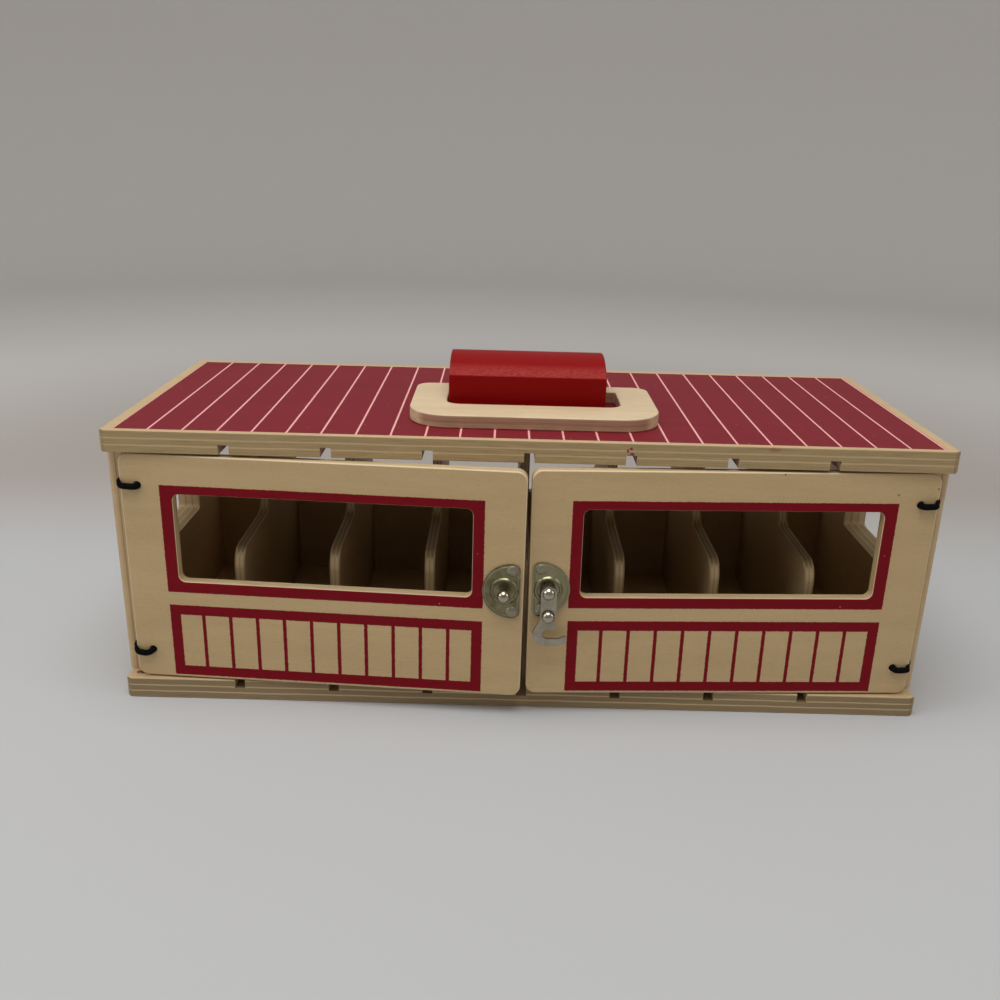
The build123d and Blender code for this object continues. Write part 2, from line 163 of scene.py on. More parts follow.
class ToyStableColours(bpy.types.PropertyGroup):
    board_face: colour("Board face", "Face veneer of the boards and side panels", "#C8AC82")
    # the stall veneer colour, darkened as painted shade for the dim stalls
    stall_face_shaded: colour("Stall face", "Face veneer of the stall dividers and the back panel", "#B89D74")
    base_edge: colour("Base board edges", "Cross plies on the sawn edges of the base board", "#968160")
    board_edge: colour("Board edges", "Cross plies on the edges of the roof board and panels", "#B39A6E")
    stall_edge: colour("Stall divider edges", "Cross plies on the edges of the stall dividers", "#94805B")
    door_face: colour("Door face", "Face veneer of the doors", "#C9AD7E")
    door_edge: colour("Door edges", "Cross plies on the rounded edges of the doors", "#D8BF94")
    ring_face: colour("Ring face", "Face veneer of the carry ring", "#DEC7A3")
    ring_edge: colour("Ring edges", "Cross plies on the ring's edge", "#B0836A")
    roof_line: colour("Roof lines", "Bare lines between the planks, stained pink by the ink", "#F2ABA6")
    roof_ink: colour("Roof ink", "Screen printed ink of the roof", "#80202A")
    door_ink: colour("Door ink", "Screen printed ink of the doors", "#820818")
    block_paint: colour("Block paint", "Paint of the red block", "#880404")
    nickel: colour("Nickel", "Bright nickel of the turned pins", "#B4AC9C")
    satin: colour("Satin nickel", "Stamped nickel of the hook and the nails", "#9C9484")
    plate: colour("Plate nickel", "Thin greyed nickel of the right plate", "#948D70")
    tarnish: colour("Tarnish", "Olive film on the left plate", "#696246")
    elastic: colour("Elastic", "Braided elastic cord", "#020202")
    # painted shadow: the tone of the dark lump put in the gap by the left panel
    glue: colour("Painted shadow", "Painted shadow lump", "#3A2414")
    floor: colour("Floor", "Matt floor of the stage", "#B9B9B9")
    # painted shadow: the floor's tone behind the stable, darkened to stand in for the stable's shadow
    floor_painted_shadow: colour("Floor behind", "Matt floor behind the stable", "#A8A099")
    backdrop: colour("Backdrop", "Matt backdrop of the stage", "#D0CCC8")


# Shader nodes

def put(tree, kind, inputs=(), stops=(), **settings):
    """Adds a node, gives it its settings and ramp stops, and fills or links its inputs by name or number."""
    made = tree.nodes.new("ShaderNode" + kind)
    for name, value in settings.items():
        setattr(made, name, value)
    open_inputs = [socket for socket in made.inputs if socket.enabled]
    for key, value in dict(inputs).items():
        socket = open_inputs[key] if isinstance(key, int) else next(s for s in open_inputs if s.name == key)
        if isinstance(value, bpy.types.Node):
            value = next(s for s in value.outputs if s.enabled)
        if isinstance(value, bpy.types.NodeSocket):
            tree.links.new(value, socket)
        else:
            socket.default_value = value
    if stops:
        elements = made.color_ramp.elements
        elements.remove(elements[1])
        elements[0].position = stops[0][0]
        for place, _ in stops[1:]:
            elements.new(place)
        for element, (_, shade) in zip(elements, stops):
            element.color = (shade, shade, shade, 1.0)
    return made


def math_of(tree, operation, *values):
    """A number worked out from numbers."""
    return put(tree, "Math", enumerate(values), operation=operation)


def vector_of(tree, operation, *values):
    """A vector worked out from vectors, or for some operations a number."""
    return put(tree, "VectorMath", enumerate(values), operation=operation)


def graded(tree, value, start, end, low=0.0, high=1.0, **settings):
    """A number that goes from low to high while the value goes from start to end."""
    inputs = {"Value": value, "From Min": start, "From Max": end, "To Min": low, "To Max": high}
    return put(tree, "MapRange", inputs, **settings)


def mixed(tree, share, first, second, kind="RGBA"):
    """The first colour or number, with a share of the second in its place."""
    return put(tree, "Mix", {"Factor": share, "A": first, "B": second}, data_type=kind)


def noise(tree, where, size, detail, **more):
    """Cloudy noise whose clouds are about so large, given once or for each axis."""
    scale = 1.0
    if isinstance(size, tuple):
        where = vector_of(tree, "MULTIPLY", where, [1 / across for across in size])
    else:
        scale = 1 / size
    others = {name.title(): value for name, value in more.items()}
    return put(tree, "TexNoise", {"Vector": where, "Scale": scale, "Detail": detail, **others})


def bumped(tree, height, strength, distance):
    """The surface's normal, tilted by a height."""
    return put(tree, "Bump", {"Height": height, "Strength": strength, "Distance": distance * MM})


def new_material(name, **finish):
    """An empty material with its shader, whose named sockets take plain values, and its coordinates."""
    material = bpy.data.materials.new(name)
    material.use_nodes = True
    tree = material.node_tree
    tree.nodes.clear()
    shader = put(tree, "BsdfPrincipled", {key.replace("_", " "): value for key, value in finish.items()})
    put(tree, "OutputMaterial", {"Surface": shader})
    return material, tree, shader, put(tree, "TexCoord").outputs


def finish_with(tree, shader, **sockets):
    """Links what a material has worked out to its shader."""
    for name, source in sockets.items():
        if isinstance(source, bpy.types.Node):
            source = next(s for s in source.outputs if s.enabled)
        tree.links.new(source, shader.inputs[name.replace("_", " ")])


def wear(node, material):
    """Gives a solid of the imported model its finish."""
    mesh = NODES[node].data
    mesh.materials.clear()
    mesh.materials.append(material)


# Plywood

# Plies through the thickness, as (share of it, 0 long grain or 1 cross grain)
BOARD_PLIES = (
    (0.02, 0.3), (0.08, 1), (0.295, 1), (0.32, 0.0), (0.36, 0.0), (0.385, 1),
    (0.595, 1), (0.62, 0.0), (0.66, 0.0), (0.685, 1), (0.92, 1), (0.97, 0),
)
THIN_PLIES = ((0.12, 0), (0.17, 1), (0.41, 1), (0.45, 0.3), (0.55, 0.3), (0.59, 1), (0.83, 1), (0.88, 0))
RING_PLIES = (
    (0.0, 0.5), (0.3, 0.85), (0.36, 0.7), (0.42, 1), (0.62, 1),
    (0.68, 0.75), (0.74, 1), (0.92, 0.7), (0.97, 0),
)

# How a sheet lies: the turn of its pattern, and the direction of its face grain
FLAT = {"turn": (0, 0, 0), "grain": (1, 0, 0)}
FACING_X = {"turn": (math.radians(90), 0, math.radians(90)), "grain": (0, 1, 0)}
FACING_Y = {"turn": (math.radians(90), 0, 0), "grain": (1, 0, 0)}


def veneer_tone(tree, spot, face):
    """The colour of a face, with its fine grain, broad figure and pores."""
    # fibres 0.6 wide and 16 long, a figure 12 wide and 90 long, pores 0.35 wide and 3 long
    fibre = noise(tree, spot, (16, 0.6, 0.6), 3.0)
    figure = noise(tree, spot, (90, 12, 12), 2.0, distortion=0.8)
    pores = noise(tree, spot, (3, 0.35, 0.35), 1.0)
    pores = put(tree, "ValToRGB", {"Fac": pores}, stops=((0.60, 0.0), (0.70, 1.0)))
    veneer = mixed(tree, graded(tree, fibre, 0.3, 0.7, 0.0, 0.18), face, linear("#A98A60"))
    veneer = mixed(tree, graded(tree, figure, 0.3, 0.7, 0.0, 0.26), veneer, linear("#A98A60"))
    veneer = mixed(tree, math_of(tree, "MULTIPLY", pores, 0.16), veneer, linear("#6B4A2A"))
    return veneer, fibre, figure, pores


def sawn_tone(tree, spot, edge):
    """The colour of a sawn edge: streaks 0.35 wide and 14 long over open fibre ends about 0.5 across."""
    ends = noise(tree, spot, 0.5, 2.0)
    streaks = noise(tree, spot, (14, 14, 0.35), 3.0, roughness=0.6)
    sawn = mixed(tree, graded(tree, ends, 0.35, 0.75, 0.0, 0.25), edge, linear("#6F5A38"))
    return mixed(tree, graded(tree, streaks, 0.35, 0.68, 0.0, 0.5), sawn, linear("#7A6541"))


def cross_ply(tree, spot, depth, normal, thick, grain, plies):
    """1 where a cross ply shows and 0 where long grain shows."""
    # the glue lines wander by a tenth or two
    drift = math_of(tree, "MULTIPLY_ADD", noise(tree, spot, 25, 2.0), 0.8, -0.4)
    share = math_of(tree, "DIVIDE", math_of(tree, "ADD", depth, drift), thick)
    ply = put(tree, "ValToRGB", {"Fac": share}, stops=plies)
    # on the edges across the grain the plies change places
    end_on = math_of(tree, "ABSOLUTE", vector_of(tree, "DOT_PRODUCT", normal, grain))
    ply = math_of(tree, "SUBTRACT", ply, graded(tree, end_on, 0.6, 0.8))
    return math_of(tree, "ABSOLUTE", ply)


def cutter_marks(tree, coordinates, wood, strength):
    """The upright corners are rounded by a cutter, which leaves duller marks 0.5 wide and 6.25 high."""
    facing = put(tree, "SeparateXYZ", {"Vector": coordinates["Normal"]}).outputs
    corner = math_of(tree, "ABSOLUTE", math_of(tree, "MULTIPLY", facing["X"], facing["Y"]))
    corner = graded(tree, corner, 0.12, 0.3, 0.0, strength)
    marks = noise(tree, coordinates["Object"], (0.5 * MM, 0.5 * MM, 6.25 * MM), 2.0)
    marks = math_of(tree, "MULTIPLY", corner, graded(tree, marks, 0.3, 0.7, 0.3, 1.0))
    return mixed(tree, marks, wood, linear("#7C6C48"))


def plywood(name, corner, thick, plies, face, edge, turn, grain, corner_tone=0.0):
    """Birch plywood, rotary cut, sanded and thinly varnished: fine pale grain with short pores on the faces,
    and on the sawn edges streaky cross plies between thin pale ones. The pattern is laid from one corner of
    the piece, with X along the face grain and Z through the thickness, and grain is the direction of X."""
    material, tree, shader, coordinates = new_material(name, IOR=1.5, Roughness=0.5)
    laid = {"Location": Vector(corner) * MM, "Rotation": turn, "Scale": (MM, MM, MM)}
    spot = put(tree, "Mapping", {"Vector": coordinates["Object"], **laid}, vector_type="TEXTURE")
    split = put(tree, "SeparateXYZ", {"Vector": spot}).outputs
    veneer, fibre, figure, pores = veneer_tone(tree, spot, face)
    ply = cross_ply(tree, spot, split["Z"], coordinates["Normal"], thick, grain, plies)
    wood = mixed(tree, ply, veneer, sawn_tone(tree, spot, edge))
    wood = cutter_marks(tree, coordinates, wood, corner_tone)
    bump = bumped(tree, math_of(tree, "MULTIPLY_ADD", pores, -0.6, fibre), 0.35, 0.06)
    rough = graded(tree, ply, 0.0, 1.0, 0.46, 0.68)
    finish_with(tree, shader, Base_Color=wood, Normal=bump, Roughness=rough)
    return {
        "material": material, "tree": tree, "shader": shader, "coordinates": coordinates, "spot": spot,
        "split": split, "face": thick, "wood": wood, "fibre": fibre, "figure": figure, "rough": rough,
    }


def stain_spots(wood, marks, tint, strength):
    """Small ragged marks on a board. Each mark has its middle and its half widths in millimetres."""
    tree = wood["tree"]
    ragged = math_of(tree, "MULTIPLY_ADD", noise(tree, wood["spot"], 1.2, 3.0), 1.2, -0.6)
    for middle, half in marks:
        off = vector_of(tree, "SUBTRACT", wood["spot"], middle)
        far = vector_of(tree, "LENGTH", vector_of(tree, "DIVIDE", off, half))
        mark = graded(tree, math_of(tree, "ADD", far, ragged), 0.45, 1.0, strength, 0.0)
        wood["wood"] = mixed(tree, mark, wood["wood"], tint)
    finish_with(tree, wood["shader"], Base_Color=wood["wood"])


def frame_distance(wood, centre, half):
    """How far a place on a board lies outside a rectangle, in millimetres, and inside it as a minus."""
    tree, sides = wood["tree"], []
    for axis, middle, reach in zip("XY", centre, half):
        off = math_of(tree, "ABSOLUTE", math_of(tree, "SUBTRACT", wood["split"][axis], middle))
        sides.append(math_of(tree, "SUBTRACT", off, reach))
    return math_of(tree, "MAXIMUM", *sides)


def stripe_distance(wood, first, pitch):
    """How far a place lies from the nearest of evenly spaced upright lines, in millimetres."""
    tree, half = wood["tree"], pitch / 2
    moved = math_of(tree, "ADD", wood["split"]["X"], half - first)
    turn = math_of(tree, "WRAP", moved, 0.0, pitch)
    return math_of(tree, "ABSOLUTE", math_of(tree, "SUBTRACT", turn, half))


def screen_print(wood, outside, ink):
    """Screen printed ink on the face: even and matt, with the grain showing faintly through, a soft ragged
    rim of a tenth of a millimetre, and a few pinholes. outside is above nought off the print."""
    tree, spot, face = wood["tree"], wood["spot"], wood["face"]
    # the rim of the squeegeed ink is ragged at every 0.8
    ragged = math_of(tree, "MULTIPLY_ADD", noise(tree, spot, 0.8, 1.0), 0.5, -0.25)
    inked = graded(tree, math_of(tree, "ADD", ragged, outside), -0.1, 0.1, 1.0, 0.0)
    face_only = graded(tree, wood["split"]["Z"], face - 0.35, face - 0.2)
    inked = math_of(tree, "MULTIPLY", inked, face_only)
    # pinholes about 0.5 across, some 9 apart
    cells = put(tree, "TexVoronoi", {"Vector": spot, "Scale": 1 / 9.0, "Randomness": 1.0})
    holes = graded(tree, cells.outputs["Distance"], 0.025, 0.04)
    inked = math_of(tree, "MULTIPLY", inked, holes)
    # the ink lies unevenly over the fibres and the broad figure of the wood
    streaked = mixed(tree, graded(tree, wood["fibre"], 0.3, 0.7, 0.0, 0.35), ink, darker(ink, 0.55))
    streaked = mixed(tree, graded(tree, wood["figure"], 0.3, 0.7, 0.0, 0.3), streaked, darker(ink, 0.6))
    wood["wood"] = mixed(tree, inked, wood["wood"], streaked)
    wood["rough"] = mixed(tree, inked, wood["rough"], 0.5, "FLOAT")
    gloss = graded(tree, inked, 0.0, 1.0, 0.5, 0.12)
    looks = {"Base_Color": wood["wood"], "Roughness": wood["rough"], "Specular_IOR_Level": gloss}
    finish_with(tree, wood["shader"], **looks)


# Other materials

def nickel_plate(name, bright, film, film_share, roughness):
    """Nickel plate on pressed steel: a warm grey metal, with a dull film where it has been handled, and fine
    scratches from the tumbling barrel."""
    material, tree, shader, coordinates = new_material(name, Metallic=1.0, Roughness=roughness)
    # film in patches of about 5, scratches 0.15 apart
    patches = noise(tree, coordinates["Object"], 5 * MM, 4.0, roughness=0.6)
    tone = mixed(tree, graded(tree, patches, 0.35, 0.65, 0.3 * film_share, film_share), bright, film)
    grit = noise(tree, coordinates["Object"], (0.15 * MM, 0.15 * MM, 1.2 * MM), 2.0)
    rough = graded(tree, patches, 0.3, 0.7, roughness * 0.8, roughness * 1.35)
    finish_with(tree, shader, Base_Color=tone, Normal=bumped(tree, grit, 0.12, 0.02), Roughness=rough)
    return material


def knitted_elastic(tone):
    """Braided polyester sleeve over rubber: deep black and matt."""
    material, tree, shader, coordinates = new_material(
        "Braided elastic cord", Roughness=0.8, Specular_IOR_Level=0.1,
    )
    # filaments of a strand, 0.12 apart
    threads = noise(tree, coordinates["Object"], 0.12 * MM, 1.0)
    tone = mixed(tree, threads, tone, linear("#080809"))
    finish_with(tree, shader, Base_Color=tone, Normal=bumped(tree, threads, 0.4, 0.05))
    return material


def shadow_lump_material(tone):
    """A dark brown lump that stands in for the shadow in the gap by the left panel's corner, clouded with a
    paler brown.
    """
    material, tree, shader, coordinates = new_material("Painted shadow lump", Roughness=0.3)
    cloud = noise(tree, coordinates["Object"], 0.9 * MM, 2.0)
    finish_with(tree, shader, Base_Color=mixed(tree, cloud, tone, linear("#7A5A32")))
    return material


def red_paint(red):
    """Spray paint on planed beech: a matt red with the grain telegraphing through in fine lines along the
    block, rough and a little paler on the crown just above the front and back creases."""
    material, tree, shader, coordinates = new_material(
        "Red paint on beech block", Roughness=0.45, IOR=1.5, Specular_IOR_Level=0.1,
    )
    spot = vector_of(tree, "MULTIPLY", coordinates["Object"], (1 / MM, 1 / MM, 1 / MM))
    split = put(tree, "SeparateXYZ", {"Vector": spot}).outputs
    # grain 30 long and 0.9 wide, rasp marks 2 long and 0.7 wide
    grain = noise(tree, spot, (30, 0.9, 0.9), 3.0)
    rasp = noise(tree, spot, (2, 0.7, 0.7), 4.0, roughness=0.7)
    bands = []
    for crease_y in (BLOCK_FRONT_Y, BLOCK_BACK_Y):
        off = math_of(tree, "ABSOLUTE", math_of(tree, "SUBTRACT", split["Y"], crease_y))
        bands.append(graded(tree, off, 3.5, 9.0, 1.0, 0.0))
    on_crown = graded(tree, split["Z"], BLOCK_SHOULDER_Z - 0.5, BLOCK_SHOULDER_Z + 0.2)
    rough_band = math_of(tree, "MULTIPLY", math_of(tree, "MAXIMUM", *bands), on_crown)
    rubbed = math_of(tree, "MULTIPLY", rough_band, graded(tree, rasp, 0.38, 0.62, 0.2, 1.0))
    paint = mixed(tree, graded(tree, grain, 0.3, 0.7, 0.0, 0.3), red, darker(red, 0.6))
    paint = mixed(tree, math_of(tree, "MULTIPLY", rubbed, 0.24), paint, linear("#D8746C"))
    rough = graded(tree, rough_band, 0.0, 1.0, 0.42, 0.62)
    height = math_of(tree, "MULTIPLY_ADD", math_of(tree, "MULTIPLY", rasp, rough_band), 3.0, grain)
    finish_with(tree, shader, Base_Color=paint, Roughness=rough, Normal=bumped(tree, height, 0.35, 0.1))
    return material


def seamless_paper(near, behind, backdrop):
    """Matt paper, pale in front, with a painted shadow that darkens it behind the stable, and a warm grey
    far off, in metres.
    """
    material, tree, shader, coordinates = new_material("Seamless paper", Roughness=0.9)
    split = put(tree, "SeparateXYZ", {"Vector": coordinates["Object"]}).outputs
    # painted shadow: the darker tone is blended in behind the stable
    painted_shadow_share = graded(tree, split["Y"], 0.07, 0.3, interpolation_type="SMOOTHSTEP")
    paper = mixed(tree, painted_shadow_share, near, behind)
    away = vector_of(tree, "LENGTH", coordinates["Object"])
    far = graded(tree, away, 0.45, 1.0, interpolation_type="SMOOTHSTEP")
    finish_with(tree, shader, Base_Color=mixed(tree, far, paper, backdrop))
    return material


# Boards, panels and dividers

class TOYSTABLE_OT_carcass(bpy.types.Operator):
    """Gives the base, the panels and the stall dividers their plywood"""

    bl_idname = "toy_stable.carcass"
    bl_label = "Plywood Carcass"

    def execute(self, context):
        colours = context.scene.toy_stable_colours
        # stall is the stall veneer, darkened as painted shade
        face, edge, stall = tuple(colours.board_face), tuple(colours.board_edge), tuple(colours.stall_face_shaded)
        base = plywood(
            "Birch plywood, base board", (0, 0, 0), BOARD_THICK, BOARD_PLIES, face, tuple(colours.base_edge),
            corner_tone=0.7, **FLAT,
        )
        wear("base_panel", base["material"])
        for name, near_x in (("left", -INNER_X - PANEL_THICK), ("right", INNER_X)):
            panel = plywood(
                f"Birch plywood, {name} panel", (near_x, 0, 0), PANEL_THICK, BOARD_PLIES, face, edge,
                **FACING_X,
            )
            wear(f"{name}_side_panel", panel["material"])
        far_y = BACK_FRONT_Y + BACK_THICK
        back = plywood(
            "Birch plywood, back panel", (0, far_y, 0), BACK_THICK, THIN_PLIES, stall, edge, **FACING_Y,
        )
        wear("back_panel", back["material"])
        for number in range(1, 8):
            near_x = (number - 4) * DIVIDER_PITCH - DIVIDER_THICK / 2
            wall = plywood(
                f"Birch plywood, divider {number}", (near_x, 0, 0), DIVIDER_THICK, THIN_PLIES, stall,
                tuple(colours.stall_edge), **FACING_X,
            )
            wear(f"stall_divider_{number}", wall["material"])
        return {"FINISHED"}


class TOYSTABLE_OT_roof(bpy.types.Operator):
    """Prints the roof with red planks"""

    bl_idname = "toy_stable.roof"
    bl_label = "Printed Roof"

    def execute(self, context):
        sizes, colours = context.scene.toy_stable_sizes, context.scene.toy_stable_colours
        ink = tuple(colours.roof_ink)
        roof = plywood(
            "Birch plywood, printed roof", (0, 0, ROOF_UNDER), BOARD_THICK, BOARD_PLIES,
            tuple(colours.board_face), tuple(colours.board_edge), corner_tone=0.7, **FLAT,
        )
        tree = roof["tree"]
        # the red field leaves a bare margin of 6 at the ends, 2 in front and 6 behind
        field = frame_distance(roof, ROOF_FIELD_MIDDLE, ROOF_FIELD_HALF)
        lines = stripe_distance(roof, ROOF_FIRST_LINE, sizes.plank_pitch / MM)
        lines = math_of(tree, "SUBTRACT", sizes.plank_line / MM / 2, lines)
        # the ink has crept into the thin bare lines and stained them
        stain = math_of(tree, "MINIMUM", lines, math_of(tree, "MULTIPLY", field, -1.0))
        stain = graded(tree, stain, -0.2, 0.1, 0.0, 0.9)
        roof["wood"] = mixed(tree, stain, roof["wood"], tuple(colours.roof_line))
        screen_print(roof, math_of(tree, "MAXIMUM", field, lines), ink)
        # red ink smeared on the front edge over a notch, and a rubbed pink blotch farther right
        smears = (
            ((46.2, -80, 4.2), (1.0, 2, 1.5)), ((47.6, -80, 5.6), (1.4, 2, 0.9)),
            ((45.6, -80, 7.2), (0.8, 2, 1.2)), ((47.0, -80, 8.2), (1.1, 2, 0.8)),
        )
        blotch = ((113.4, -80, 9.5), (3.6, 2, 1.4))
        stain_spots(roof, smears, ink, 1.0)
        stain_spots(roof, (blotch,), ink, 0.35)
        wear("roof_panel", roof["material"])
        return {"FINISHED"}


def door_print(door, sizes):
    """How far a place on a door lies outside its print: a frame round the window and a barred one below."""
    tree, pitch = door["tree"], sizes.bar_pitch / MM
    band = sizes.window_band / MM
    window = frame_distance(door, WINDOW_MIDDLE, [half + band for half in WINDOW_HALF])
    lower = frame_distance(door, LOWER_MIDDLE, LOWER_HALF)
    rails = math_of(tree, "SUBTRACT", math_of(tree, "ABSOLUTE", lower), sizes.bar_band / MM / 2)
    bars = math_of(tree, "SUBTRACT", stripe_distance(door, pitch / 2, pitch), sizes.bar_width / MM / 2)
    bars = math_of(tree, "MAXIMUM", bars, lower)
    return math_of(tree, "MINIMUM", math_of(tree, "MINIMUM", window, rails), bars)


class TOYSTABLE_OT_doors(bpy.types.Operator):
    """Prints the doors with their window frames and bars"""

    bl_idname = "toy_stable.doors"
    bl_label = "Printed Doors"

    def execute(self, context):
        sizes, colours = context.scene.toy_stable_sizes, context.scene.toy_stable_colours
        for side, name in SIDES:
            place = door_place(side)
            along, _, out = (tuple(axis.normalized()) for axis in place.to_3x3().col)
            middle = place @ Vector((-side * PRINT_MIDDLE, 0, -DOOR_THICK)) / MM
            door = plywood(
                f"Birch plywood, printed {name} door", middle, DOOR_THICK, THIN_PLIES,
                tuple(colours.door_face), tuple(colours.door_edge), turn=place.to_euler(), grain=along,
            )
            tree = door["tree"]
            # a painted highlight: the rounded rim is painted paler, as where light catches it
            face_on = vector_of(tree, "DOT_PRODUCT", door["coordinates"]["Normal"], out)
            rim_highlight = graded(tree, face_on, 0.97, 0.85, 0.0, 0.45)
            rim_highlight = math_of(tree, "MULTIPLY", rim_highlight, graded(tree, face_on, 0.1, 0.3))
            door["wood"] = mixed(tree, rim_highlight, door["wood"], linear("#F2E2C4"))
            screen_print(door, door_print(door, sizes), tuple(colours.door_ink))
            if side > 0:
                # small dark dents in the bare wood, two beside the hinge edge and one at the top edge
                dents = (
                    ((PRINT_MIDDLE - 19.85, 106.7, 6), (0.6, 0.6, 1)),
                    ((PRINT_MIDDLE - 1.2, 109.85, 6), (0.6, 0.6, 1)),
                    ((PRINT_MIDDLE - 75, 116.3, 5.5), (0.7, 0.6, 2)),
                )
                stain_spots(door, dents, linear("#4A3018"), 0.8)
            wear(f"{name}_door", door["material"])
        return {"FINISHED"}


# Curves

def curve_of(name, lines, kind, radius, closed=False, fullness=2, shares=None):
    """Tubes along lines of points as one curve object, of one radius or of a share of it at each point."""
    data = bpy.data.curves.new(name, "CURVE")
    data.dimensions = "3D"
    data.bevel_depth = radius
    data.bevel_resolution = fullness
    data.use_fill_caps = not closed
    data.resolution_u = 12
    for points in lines:
        spline = data.splines.new(kind)
        spline.points.add(len(points) - 1)
        for point, place, share in zip(spline.points, points, shares or [1.0] * len(points)):
            point.co = (*place, 1.0)
            point.radius = share
        if kind == "NURBS":
            spline.order_u = 3
            spline.use_endpoint_u = True
        spline.use_cyclic_u = closed
    made = bpy.data.objects.new(name, data)
    bpy.context.scene.collection.objects.link(made)
    return made


def route_points(name, points):
    """The smooth line of a cord through its points, read from its spline."""
    made = curve_of(name, [points], "NURBS", 0.0)
    read = bpy.data.meshes.new_from_object(made.evaluated_get(bpy.context.evaluated_depsgraph_get()))
    line = [v.co.copy() for v in read.vertices]
    bpy.data.meshes.remove(read)
    bpy.data.objects.remove(made)
    return line


def to_mesh(parts, name, material):
    """Turns curves into one mesh object of one material."""
    bpy.ops.object.select_all(action="DESELECT")
    for part in parts:
        part.select_set(True)
    bpy.context.view_layer.objects.active = parts[0]
    bpy.ops.object.convert(target="MESH")
    if len(parts) > 1:
        bpy.ops.object.join()
    made = bpy.context.view_layer.objects.active
    made.name = name
    bpy.ops.object.shade_smooth()
    made.data.materials.clear()
    made.data.materials.append(material)
    for face in made.data.polygons:
        face.material_index = 0
    return made


# Elastic cords

def cord_points(place, side, level):
    """A cord's points, given one by one: from its knot out through the hole, over the face, round the door's
    edge and back into the side panel. Gives them with the bend at the edge and the height at the hinge."""
    height, tuck, over, hinge = CORD_HEIGHTS[level], CORD_TUCKS[side], CORD_OVER, HINGES[side]
    sag, rise = CORD_SAGS[side, level]
    on_door = [
        (CORD_HOLE, height, -7.0), (CORD_HOLE, height, -3.0), (CORD_HOLE, height, over * 0.7),
        (CORD_HOLE * 0.9, height - sag * 0.3, over * 1.25), (CORD_HOLE * 0.7, height - sag, over * 1.15),
        (CORD_HOLE * 0.4, height - sag, over), (CORD_HOLE * 0.2, height - sag * 0.8, over),
        (CORD_HOLE * 0.06 + tuck, height - sag * 0.2 + rise * 0.2, over * 0.8),
        (tuck - 0.1, height + rise * 0.8, over * 0.35), (tuck - 0.5, height + rise, -1.0),
        (tuck - 1.1, height + rise * 0.5, -2.8),
    ]
    points = [place @ Vector((-side * u, v, w)) for u, v, w in on_door]
    near = HINGE_OUT + height * math.tan(math.radians(DOOR_DROOP))
    hinge_z = (place @ Vector((side * near, height, -HINGE_BEHIND))).z / MM
    points += [Vector((hinge.x, y, hinge_z)) * MM for y in (hinge.y, -69.5, -66.0, -61.0)]
    bend = place @ Vector((side * (0.5 - tuck), height + rise, -0.6))
    return points, bend, hinge_z


def drawn_thin(line, bend, side):
    """Each point's share of a cord's thickness. The elastic is drawn thin where it turns round the edge."""
    turned = min(range(len(line)), key=lambda here: (line[here] - bend).length)
    shares = []
    for here, spot in enumerate(line):
        reach = THIN_AFTER[side] if here > turned else THIN_BEFORE
        gone = (spot - bend).length / (reach * MM)
        shares.append(1.0 - THINNED * math.exp(-gone ** 2))
    return shares


def braid(line, radius, shares, strand, count, lay):
    """Strands that wind round a line, half of them each way, over and under one another. Each point of the
    line has its share of the radius, so the braid is thin where the cord is stretched."""
    # a strand rises and dips by 0.35 of its radius, and at its highest it just reaches the cord's radius
    weave, sunk = 0.35, 1.35
    steps, side = [], Vector((0, 0, 1))
    run = 0.0
    for here, (place, after) in enumerate(zip(line, line[1:] + [line[-1] * 2 - line[-2]])):
        along = (after - place).normalized()
        side = (side - along * side.dot(along)).normalized()
        steps.append((place, side.copy(), along.cross(side), run, radius * shares[here]))
        run += (after - place).length
    strands = []
    for way in (-1, 1):
        for number in range(count):
            points = []
            for place, out, across, gone, wide in steps:
                angle = way * 2 * math.pi * gone / lay + 2 * math.pi * number / count
                lift = weave * strand * way * math.cos(count * 2 * math.pi * gone / lay)
                aside = out * math.cos(angle) + across * math.sin(angle)
                points.append(place + aside * (wide - sunk * strand + lift))
            strands.append(points)
    return strands


def knot_loop(place, side, height, spread):
    """A pulled tight overhand knot behind the door: a trefoil about the cord's hole."""
    loop = []
    for step in range(KNOT_STEPS):
        t = 2 * math.pi * step / KNOT_STEPS
        u = (math.sin(t) + 2 * math.sin(2 * t)) * spread / MM
        v = (math.cos(t) - 2 * math.cos(2 * t)) * spread / MM
        w = -KNOT_BEHIND - KNOT_DEEP * math.sin(3 * t)
        loop.append(place @ Vector((-side * (CORD_HOLE + u), height + v, w)))
    return loop


class TOYSTABLE_OT_cords(bpy.types.Operator):
    """Ties the doors to the panels with braided elastic cords"""

    bl_idname = "toy_stable.cords"
    bl_label = "Elastic Cords"

    def execute(self, context):
        sizes, colours = context.scene.toy_stable_sizes, context.scene.toy_stable_colours
        radius, strand = sizes.cord_radius, sizes.cord_strand
        spread = (sizes.knot_radius - radius * KNOT_SHARE) / 3
        elastic = knitted_elastic(tuple(colours.elastic))
        for side, name in SIDES:
            place = door_place(side)
            for level, height in CORD_HEIGHTS.items():
                points, bend, hinge_z = cord_points(place, side, level)
                line = route_points("route", points)
                shares = drawn_thin(line, bend, side)
                wound = braid(line, radius, shares, strand, STRANDS, STRAND_LAY * MM)
                loop = knot_loop(place, side, height, spread)
                parts = [
                    curve_of("strands", wound, "POLY", strand, fullness=1),
                    curve_of("core", [line], "POLY", radius * CORE_SHARE, shares=shares),
                    curve_of("knot", [loop], "POLY", radius * KNOT_SHARE, closed=True),
                ]
                cord = to_mesh(parts, f"{name}_{level}_elastic", elastic)
                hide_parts(f"{name}_{level}_cord", f"{name}_{level}_cord_anchor")
                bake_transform(cord)
        return {"FINISHED"}


# Latch

